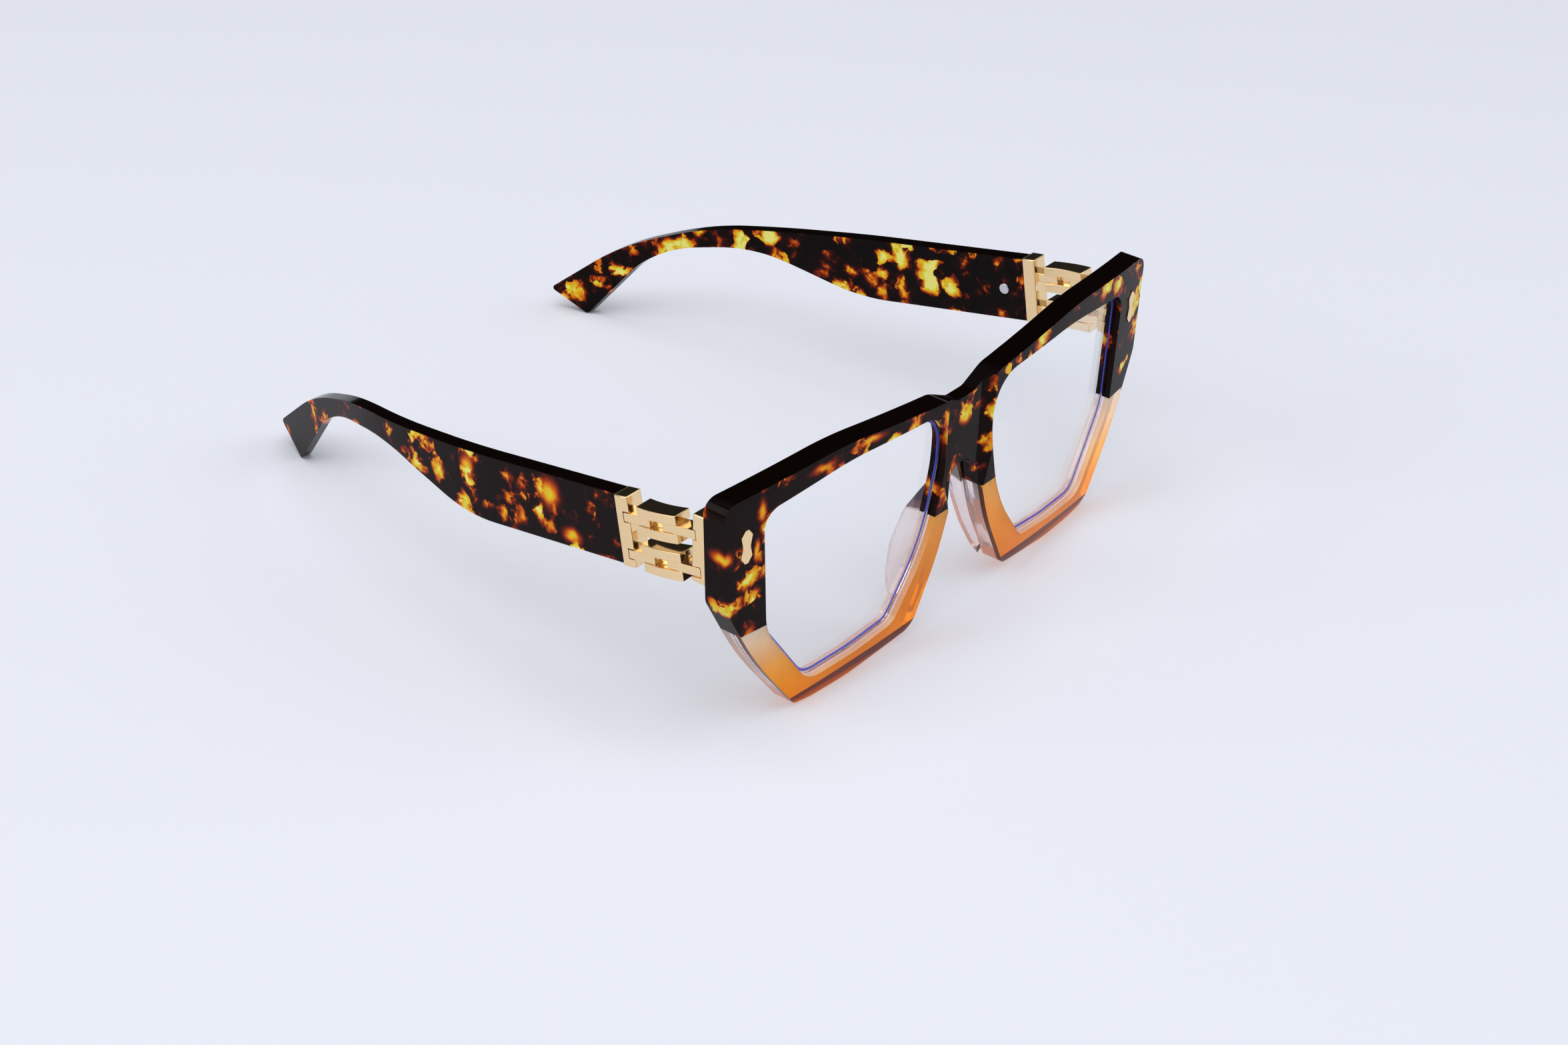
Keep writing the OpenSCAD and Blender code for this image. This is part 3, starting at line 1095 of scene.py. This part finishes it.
    def rim_layer(self, blank: Object, side: Side, name: str, near: float, far: float) -> Object:
        """One layer of a lower rim.

        Args:
            blank: The flat front.
            side: The wearer's side.
            name: Name of the new piece.
            near: Depth where the layer starts.
            far: Depth where it ends.

        Returns:
            The flat layer.
        """
        made = duplicate(blank, f"{name}_{side.label}")
        below = [(0, self.under), *self.below_split(side), (0, self.split_nose)]
        keep = slab("keep", [self.across(below, near)], Vector((0, far - near, 0)))
        combine(made, [keep], "INTERSECT")
        return made

    def build(self, finishes: Finishes) -> None:
        """Models, wraps and dresses the brow and the four rim layers.

        Args:
            finishes: The object's finishes.
        """
        blank = self.blank()
        brow = self.brow(blank)
        score(brow, 0)
        hand_over(settle(brow, self.wrapped), "front", "tortoiseshell", finishes.brow, "front_upper")
        for side in Side:
            layers = (("rim_amber", -1.0, self.amber + OVERLAP, "amber", finishes.amber, "rim_front"),
                      ("rim_crystal", self.amber, self.thick + 1, "crystal", finishes.crystal, "rim_back"))
            for name, near, far, slot, finish, node in layers:
                layer = self.rim_layer(blank, side, name, near, far)
                score(layer, 0)
                hand_over(settle(layer, self.wrapped), "front", slot, finish, f"{node}_{side.label}")
        bpy.data.objects.remove(blank)


@dataclass
class Lenses:
    """The two lenses, each in its groove.

    Args:
        front: The front that they sit in.
        edge: Rounding of their edges.
        ring: How far inside the opening the painted reflection of the coating's gleam starts and ends.
        ring_lift: How far before the lens it starts.
        ring_thick: Its thickness.
    """

    front: LaminatedFront
    edge: float = 0.35
    ring: Point = (0.35, 1.0)
    ring_lift: float = 0.06
    ring_thick: float = 0.05

    def build(self, finishes: Finishes) -> None:
        """Models and dresses both lenses.

        Args:
            finishes: The object's finishes.
        """
        f = self.front
        for side in Side:
            corners = grown(f.opening(), f.groove)
            made = slab(f"clear_lens_{side.label}", [f.across(rounded(corners), f.lens_set)],
                        Vector((0, f.lens_thick, 0)))
            soften(made, self.edge, segments=2)
            score(made, 0)
            hand_over(settle(made, f.wrapped, side), "front", "lens", finishes.lens, f"lens_{side.label}")
            self.build_gleam(side, finishes)

    def build_gleam(self, side: Side, finishes: Finishes) -> None:
        """Models the painted reflection: a coloured line for the coating's gleam inside the lens's edge.

        Args:
            side: The wearer's side.
            finishes: The object's finishes.
        """
        f = self.front
        loops = [f.across(rounded(grown(f.opening(), -inside)), f.lens_set - self.ring_lift)
                 for inside in self.ring]
        made = slab(f"lens_gleam_{side.label}", loops, Vector((0, self.ring_thick, 0)))
        score(made, 0)
        hand_over(settle(made, f.wrapped, side), "front", "lens", finishes.lens_bevel, f"lens_{side.label}")


@dataclass
class NosePads:
    """Two bonded pads that stand behind the rims beside the nose."""

    front: LaminatedFront
    thick: float = 3.4
    splay: float = 18.0
    lean: float = 22.0
    foot: Point = (11.2, 16.0)
    gap: float = 0.1
    edge: float = 1.2

    def profile(self) -> list[Corner]:
        """The pad in side view: depth behind the front's back, and height."""
        return [
            Corner(4.4, 10.5, 8), Corner(5.4, 17.5, 8), Corner(4.6, 25, 8), Corner(1.4, 32.5, 5),
            Corner(-1.5, 36), Corner(-1.5, 4), Corner(2, 5.5, 3),
        ]

    def placed(self, at: Vector) -> Vector:
        """Leans the pad along the side of the nose and splays it to the back.

        Args:
            at: A point of the upright pad.

        Returns:
            Where it goes behind the flat front.
        """
        lean = math.radians(self.lean)
        splay = math.radians(self.splay)
        x, y, z = at.x, at.y, at.z - self.foot[1]
        x, y = x * math.cos(splay) + y * math.sin(splay), y * math.cos(splay) - x * math.sin(splay)
        x, z = x * math.cos(lean) - z * math.sin(lean), z * math.cos(lean) + x * math.sin(lean)
        return Vector((x + self.foot[0], y + self.front.thick + self.gap, z + self.foot[1]))

    def build(self, finishes: Finishes) -> None:
        """Models and dresses both pads.

        Args:
            finishes: The object's finishes.
        """
        for side in Side:
            outline = [Vector((-self.thick / 2, y, z)) for y, z in rounded(self.profile())]
            made = slab(f"pad_{side.label}", [outline], Vector((self.thick, 0, 0)))
            soften(made, self.edge, segments=5)
            for vertex in made.data.vertices:
                vertex.co = self.placed(vertex.co)
            trim(made, (0, self.front.thick - OVERLAP, 0), (0, 1, 0), Keep.FRONT)
            hand_over(settle(made, self.front.wrapped, side), "front", "crystal", finishes.pad,
                      f"nose_pad_{side.label}")


@dataclass
class Plaques:
    """Waisted gold plaques let into the end pieces."""

    front: LaminatedFront
    place: Point = (65.8, 43.6)
    proud: float = 0.3
    inlay: float = 0.7
    edge: float = 0.12

    def outline(self) -> list[Corner]:
        """The plaque's corners from its centre."""
        half = [Corner(0.4, -3.6, 0.1), Corner(1.4, -2.2, 0.3), Corner(0.9, 0, 2.5), Corner(1.4, 2.4, 0.3),
                Corner(0.4, 3.7, 0.1)]
        return half + mirrored(half)

    def build(self, finishes: Finishes) -> None:
        """Models and dresses both plaques.

        Args:
            finishes: The object's finishes.
        """
        for side in Side:
            points = [(x + self.place[0], z + self.place[1]) for x, z in rounded(self.outline())]
            made = slab(f"gold_plaque_{side.label}", [self.front.across(points, -self.proud)],
                        Vector((0, self.proud + self.inlay, 0)))
            soften(made, self.edge, segments=2)
            hand_over(settle(made, self.front.wrapped, side), "front", "gold", finishes.gold,
                      f"plaque_{side.label}")


# ---------------------------------------------------------------- gold links


@dataclass
class LinkSection:
    """The gold bar, links and end cap between the front and the temple.

    Pieces are modelled with x outwards, y along the temple (u) and z across it (v), then tilted.
    """

    front: LaminatedFront
    hinge_z: float = 41.9
    tilt: float = 10.3
    bar_y: float = 10.8
    bar_back: float = 13.8
    bar_x: Point = (66.2, 70.5)
    bar_h: float = 14.8
    cap_u: Point = (18.5, 21.7)
    cap_x: Point = (65.95, 70.4)
    cap_h: float = 15.2
    block_u: Point = (6.3, 16.1)
    block_h: float = 2.0
    link_x: float = 70.95
    link_w: float = 4.2
    bulge: float = 27.0
    tab_x: Point = (66.9, 70.52)
    tab_h: float = 1.9
    post_u: Point = (9.9, 13.1)
    post_recess: float = 1.5
    post_grip: float = 0.2
    link_cut: float = 0.7
    tab_levels: Point = (3.25, -4.6)
    bar_tab_start: float = 1.7
    cap_tab_end: float = 19.7
    seam_w: float = 0.2
    seam_deep: float = 0.6
    edge: float = 0.16
    bar_edge: float = 0.35
    bar_gap: float = 0.08

    def tilted(self, at: Vector) -> Vector:
        """Puts a point of the u, v axes in the frame.

        Args:
            at: The point.

        Returns:
            Its place in mm.
        """
        a = math.radians(self.tilt)
        y = self.bar_y + at.y * math.cos(a) + at.z * math.sin(a)
        return Vector((at.x, y, self.hinge_z - at.y * math.sin(a) + at.z * math.cos(a)))

    def bulged(self, at: Vector) -> Vector:
        """Bulges a point of a link outwards, then tilts it. Its x is a depth behind link_x.

        Args:
            at: The point.

        Returns:
            Its place in mm.
        """
        radius = self.bulge + at.x
        along = at.y - sum(self.block_u) / 2
        x = self.link_x - self.bulge + math.sqrt(radius * radius - along * along)
        return self.tilted(Vector((x, at.y, at.z)))

    def tab(self, u: Point, level: float) -> Object:
        """One tab that reaches into a link.

        Args:
            u: Where it starts and ends.
            level: Its middle across the temple.

        Returns:
            The tab.
        """
        made = block("tab", (self.tab_x[0], u[0], level - self.tab_h / 2),
                     (self.tab_x[1], u[1], level + self.tab_h / 2))
        soften(made, self.edge, segments=3)
        return made

    def seam(self, face: float, u: Point, level: float) -> Object:
        """The cut that leaves a fine line round the end of a tab, down from an outer face.

        Args:
            face: The outer face's x.
            u: Where the cut starts and ends.
            level: Its middle across the temple.

        Returns:
            The cutter.
        """
        half = self.tab_h / 2 + self.seam_w
        return block("seam", (face - self.seam_deep, u[0], level - half), (face + 1, u[1], level + half))

    def link(self, level: float, name: str) -> Object:
        """A link: two blocks joined by a sunken post.

        Args:
            level: Its middle across the temple.
            name: Name of the new piece.

        Returns:
            The link.
        """
        offset = (self.tab_h + self.block_h) / 2
        made = block(name, (-self.link_w, self.block_u[0], level + offset - self.block_h / 2),
                     (0, self.block_u[1], level + offset + self.block_h / 2))
        lower = block("lower", (-self.link_w, self.block_u[0], level - offset - self.block_h / 2),
                      (0, self.block_u[1], level - offset + self.block_h / 2))
        half = self.tab_h / 2 + self.post_grip
        post = block("post", (self.post_recess - self.link_w, self.post_u[0], level - half),
                     (-self.post_recess, self.post_u[1], level + half))
        combine(made, [post, lower], "UNION")
        soften(made, self.edge, segments=3)
        score(made, 1, self.link_cut)
        return made

    def cap(self, name: str) -> Object:
        """The end cap, with its tabs and the seams round their ends.

        Args:
            name: Name of the new piece.

        Returns:
            The cap.
        """
        made = block(name, (self.cap_x[0], self.cap_u[0], -self.cap_h / 2),
                     (self.cap_x[1], self.cap_u[1], self.cap_h / 2))
        soften(made, self.bar_edge, segments=4)
        end = self.cap_tab_end
        seams = [self.seam(self.cap_x[1], (self.cap_u[0] - 1, end + self.seam_w), v) for v in self.tab_levels]
        combine(made, seams, "DIFFERENCE")
        combine(made, [self.tab((self.post_u[1], end), v) for v in self.tab_levels], "UNION")
        return made

    def bar(self, name: str, hinge: "HingeKnuckles") -> Object:
        """The bar against the front, with its tabs and the moving knuckles; modelled in the frame.

        Args:
            name: Name of the new piece.
            hinge: The hinge behind it.

        Returns:
            The bar.
        """
        low = self.hinge_z - self.bar_h / 2
        made = block(name, (self.bar_x[0], self.bar_y - 1, low),
                     (self.bar_x[1], self.bar_back, low + self.bar_h))
        for vertex in made.data.vertices:
            if vertex.co.y < self.bar_y:
                behind = Vector((vertex.co.x, self.front.thick + self.bar_gap, 0))
                vertex.co.y = self.front.wrapped(behind).y
        soften(made, self.bar_edge, segments=4)
        start = self.bar_tab_start
        seams = [self.seam(self.bar_x[1], (start - self.seam_w, self.block_u[0]), v) for v in self.tab_levels]
        tabs = [self.tab((start, self.post_u[0]), v) for v in self.tab_levels]
        for piece in seams + tabs:
            for vertex in piece.data.vertices:
                vertex.co = self.tilted(vertex.co)
        combine(made, seams, "DIFFERENCE")
        combine(made, tabs, "UNION")
        combine(made, hinge.moving(), "UNION")
        hinge.bore(made)
        return made

    def build(self, finishes: Finishes) -> None:
        """Models and dresses the gold pieces of both sides.

        Args:
            finishes: The object's finishes.
        """
        for side in Side:
            body, end = side.temple_body, side.label
            hinge = HingeKnuckles(self.front, self.hinge_z, self.bar_x[0])
            straight = settle(self.bar(f"gold_bar_{end}", hinge), lambda at: at, side)
            hand_over(straight, body, "gold", finishes.gold, f"hinge_bar_{end}")
            for name, level in zip(("upper", "lower"), self.tab_levels):
                link = settle(self.link(level, f"gold_link_{name}_{end}"), self.bulged, side)
                hand_over(link, body, "gold", finishes.gold, f"link_{name}_{end}")
            cap = settle(self.cap(f"gold_cap_{end}"), self.tilted, side)
            hand_over(cap, body, "gold", finishes.gold, f"temple_cap_{end}")


@dataclass
class HingeKnuckles:
    """The moving knuckles of one hinge, which are part of the gold bar."""

    front: LaminatedFront
    hinge_z: float
    bar_x: float
    pin_x: float = 64.2
    radius: float = 1.5
    bore_radius: float = 0.75
    height: float = 1.6
    pitch: float = 1.65
    levels: tuple[int, int] = (-1, 1)
    pin_back: float = 1.7
    leaf_y: Point = (-0.7, 0.8)
    leaf_grip: float = 0.3
    drill_reach: float = 12.0

    @property
    def pin_y(self) -> float:
        """Distance of the pin behind the front face."""
        return self.front.wrapped(Vector((self.pin_x, self.front.thick, 0))).y + self.pin_back

    def moving(self) -> list[Object]:
        """Each moving knuckle with the leaf that joins it to the bar.

        Returns:
            The knuckles.
        """
        pieces: list[Object] = []
        for level in self.levels:
            low = self.hinge_z + level * self.pitch - self.height / 2
            barrel = rod("barrel", self.radius, Vector((self.pin_x, self.pin_y, low)),
                         Vector((self.pin_x, self.pin_y, low + self.height)))
            leaf = block("leaf", (self.pin_x, self.pin_y + self.leaf_y[0], low),
                         (self.bar_x + self.leaf_grip, self.pin_y + self.leaf_y[1], low + self.height))
            combine(barrel, [leaf], "UNION")
            pieces.append(barrel)
        return pieces

    def bore(self, bar: Object) -> None:
        """Drills the knuckles for the screw.

        Args:
            bar: The bar with its knuckles.
        """
        ends = [Vector((self.pin_x, self.pin_y, self.hinge_z + reach))
                for reach in (-self.drill_reach, self.drill_reach)]
        drill = rod("drill", self.bore_radius, *ends)
        combine(bar, [drill], "DIFFERENCE")


# ---------------------------------------------------------------- temples


@dataclass
class Temples:
    """The two acetate temples, cut from sheet, tapered and curved in behind the ears.

    A temple is modelled flat, with x the depth from its outer face, y along it and z up.
    """

    links: LinkSection
    thick: float = 3.7
    tip_thick: float = 2.6
    height: float = 14.7
    edge: float = 0.45
    pin_radius: float = 1.3
    pin_place: Point = (37.4, 36.7)
    pin_deep: float = 1.4
    pin_proud: float = 0.1
    pin_edge: float = 0.3

    @property
    def cap_end(self) -> Vector:
        """Middle of the temple's front end, in the frame."""
        return self.links.tilted(Vector((0, self.links.cap_u[1], 0)))

    def profile(self) -> list[Corner]:
        """The temple in side view.

        Returns:
            The corners.
        """
        tilt = math.radians(self.links.tilt)
        lean = Vector((self.height / 2 * math.sin(tilt), self.height / 2 * math.cos(tilt)))
        y, z = self.cap_end.y, self.cap_end.z
        return [
            Corner(y + lean.x, z + lean.y), Corner(y - lean.x, z - lean.y), Corner(75.8, 22.2, 45),
            Corner(104.9, 27.1, 45), Corner(124.5, 22.6, 30), Corner(133, 16.5, 25),
            Corner(OVERALL_L - 9, 0, 0.8), Corner(OVERALL_L + 0.4, 5.2, 0.8), Corner(137.5, 20.4, 60),
            Corner(117.5, 29.2, 80),
        ]

    def outer_line(self) -> list[Point]:
        """The outer face in plan, as [x, y] points."""
        return rounded([Corner(70, 28), Corner(67, 76, 200), Corner(62.9, 104, 150), Corner(46, OVERALL_L)])

    def taper(self, y: float) -> float:
        """Thickness at a station along the temple."""
        share = (y - self.cap_end.y) / (OVERALL_L - self.cap_end.y)
        return self.thick + (self.tip_thick - self.thick) * share

    def curved(self, at: Vector) -> Vector:
        """Where a point of the flat temple goes: curved in plan, and tapered.

        Args:
            at: The point.

        Returns:
            Its place in mm.
        """
        line = self.outer_line()
        for (x0, y0), (x1, y1) in zip(line, line[1:]):
            if at.y <= y1:
                break
        outer = x0 + (x1 - x0) * (at.y - y0) / (y1 - y0)
        return Vector((outer - at.x / self.thick * self.taper(at.y), at.y, at.z))

    def build(self, finishes: Finishes) -> None:
        """Models and dresses both temples and their pins.

        Args:
            finishes: The object's finishes.
        """
        for side in Side:
            outline = [Vector((0, y, z)) for y, z in rounded(self.profile())]
            made = slab(f"acetate_temple_{side.label}", [outline], Vector((self.thick, 0, 0)))
            soften(made, self.edge, segments=5)
            score(made, 1)
            hand_over(settle(made, self.curved, side), side.temple_body, "tortoiseshell",
                      finishes.temples[side], f"temple_{side.label}")
            self.build_pin(side, finishes)

    def build_pin(self, side: Side, finishes: Finishes) -> None:
        """Models the round head of the pin in the inner face, slightly domed.

        Args:
            side: The wearer's side.
            finishes: The object's finishes.
        """
        y, z = self.pin_place
        inner = self.curved(Vector((self.thick, y, z))).x
        made = rod(f"cap_pin_{side.label}", self.pin_radius, Vector((inner + self.pin_deep, y, z)),
                   Vector((inner - self.pin_proud, y, z)), sides=40)
        soften(made, self.pin_edge, segments=4)
        hand_over(settle(made, lambda at: at, side), side.temple_body, "steel", finishes.steel,
                  f"temple_pin_{side.label}")


@dataclass
class CarriedOver:
    """CAD nodes that keep their shape and only take a finish."""

    def build(self, finishes: Finishes) -> None:
        """Dresses the hinge halves, screws and wire cores.

        Args:
            finishes: The object's finishes.
        """
        dressed = {"hinge_front": finishes.gold, "hinge_screw": finishes.steel, "core_wire": finishes.steel}
        for name, finish in dressed.items():
            for side in Side:
                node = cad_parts[f"{name}_{side.label}"]
                node.data.materials.clear()
                node.data.materials.append(finish)
                LOG.info("%s keeps its shape", node.name)


# ---------------------------------------------------------------- the studio


@dataclass
class Studio:
    """Pale floor, soft light and the camera."""

    azimuth: float = -52.389
    elevation: float = 31.605
    roll: float = 2.167
    distance: float = 582.762
    target: Triple = (-17.507, 33.102, 15.0)
    focal: float = 64.29
    dark_corner: Triple = (0.78, 0.62, 0.0)
    corner_span: Point = (0.35, 0.75)
    room_light: Point = (0.45, 0.02)

    def build(self) -> None:
        """Sets up the floor, the lights and the camera."""
        self.build_floor()
        self.build_lights()
        self.build_camera()

    def build_floor(self) -> None:
        """A wide pale sheet that the spectacles stand on."""
        bpy.ops.object.select_all(action="DESELECT")
        bpy.ops.mesh.primitive_plane_add(size=12)
        floor = bpy.context.active_object
        floor.name = "floor"
        material, tree = new_material("matt_paper")
        paper = add_node(tree, "BsdfPrincipled", values={
            "Base Color": linear("dde0ea"), "Roughness": 0.9, "Specular IOR Level": 0.1})
        add_node(tree, "OutputMaterial", links={"Surface": paper})
        floor.data.materials.append(material)

    def build_lights(self) -> None:
        """Large soft panels, in a pale room that is dark towards one corner."""
        world = bpy.data.worlds.new("room")
        world.use_nodes = True
        tree = world.node_tree
        tree.nodes.clear()
        towards = add_node(tree, "TexCoord").outputs["Generated"]
        corner = add_node(tree, "VectorMath", {"operation": "DOT_PRODUCT"}, {1: self.dark_corner},
                          {0: towards}).outputs["Value"]
        strength = add_node(tree, "MapRange", values={
            "From Min": self.corner_span[0], "From Max": self.corner_span[1],
            "To Min": self.room_light[0], "To Max": self.room_light[1]}, links={"Value": corner})
        sky = add_node(tree, "Background", values={"Color": linear("fbfbfb")}, links={"Strength": strength})
        add_node(tree, "OutputWorld", links={"Surface": sky})
        bpy.context.scene.world = world
        panels = (
            ("overhead", (-0.3, -0.2, 1.6), 1.8, 21.0), ("window", (-1.5, 0.9, 1.1), 1.2, 10.0),
            ("fill", (0.9, -1.3, 1.0), 1.2, 6.0),
        )
        for name, place, size, power in panels:
            lamp = bpy.data.lights.new(name, "AREA")
            lamp.shape, lamp.size, lamp.energy = "SQUARE", size, power
            holder = bpy.data.objects.new(name, lamp)
            bpy.context.scene.collection.objects.link(holder)
            holder.location = place
            holder.rotation_mode = "QUATERNION"
            holder.rotation_quaternion = (-Vector(place)).to_track_quat("-Z", "Y")

    def build_camera(self) -> None:
        """The camera, from its direction, roll and distance."""
        a, e, t = (math.radians(v) for v in (self.azimuth, self.elevation, self.roll))
        back = Vector((math.sin(a) * math.cos(e), -math.cos(a) * math.cos(e), math.sin(e)))
        level = Vector((math.cos(a), math.sin(a), 0))
        upright = back.cross(level)
        right = math.cos(t) * level + math.sin(t) * upright
        up = -math.sin(t) * level + math.cos(t) * upright
        aim = (Vector(self.target) - Vector((0, HALF_L, 0))) * MM
        camera = bpy.data.objects.new("camera", bpy.data.cameras.new("camera"))
        bpy.context.scene.collection.objects.link(camera)
        camera.data.lens = self.focal
        camera.data.sensor_width = 36
        camera.data.clip_start = 0.01
        camera.matrix_world = Matrix.Translation(aim + back * self.distance * MM) @ Matrix(
            (right, up, back)).transposed().to_4x4()
        bpy.context.scene.camera = camera


def main() -> None:
    """Builds every sub-assembly in order."""
    logging.basicConfig(level=logging.INFO, format="%(name)s: %(message)s")
    bpy.context.scene.view_settings.view_transform = "Standard"
    Studio().build()
    finishes = Finishes()
    front = LaminatedFront()
    front.build(finishes)
    Lenses(front).build(finishes)
    NosePads(front).build(finishes)
    Plaques(front).build(finishes)
    links = LinkSection(front)
    links.build(finishes)
    Temples(links).build(finishes)
    CarriedOver().build(finishes)
    bpy.ops.object.select_all(action="DESELECT")


if __name__ == "__main__":
    main()
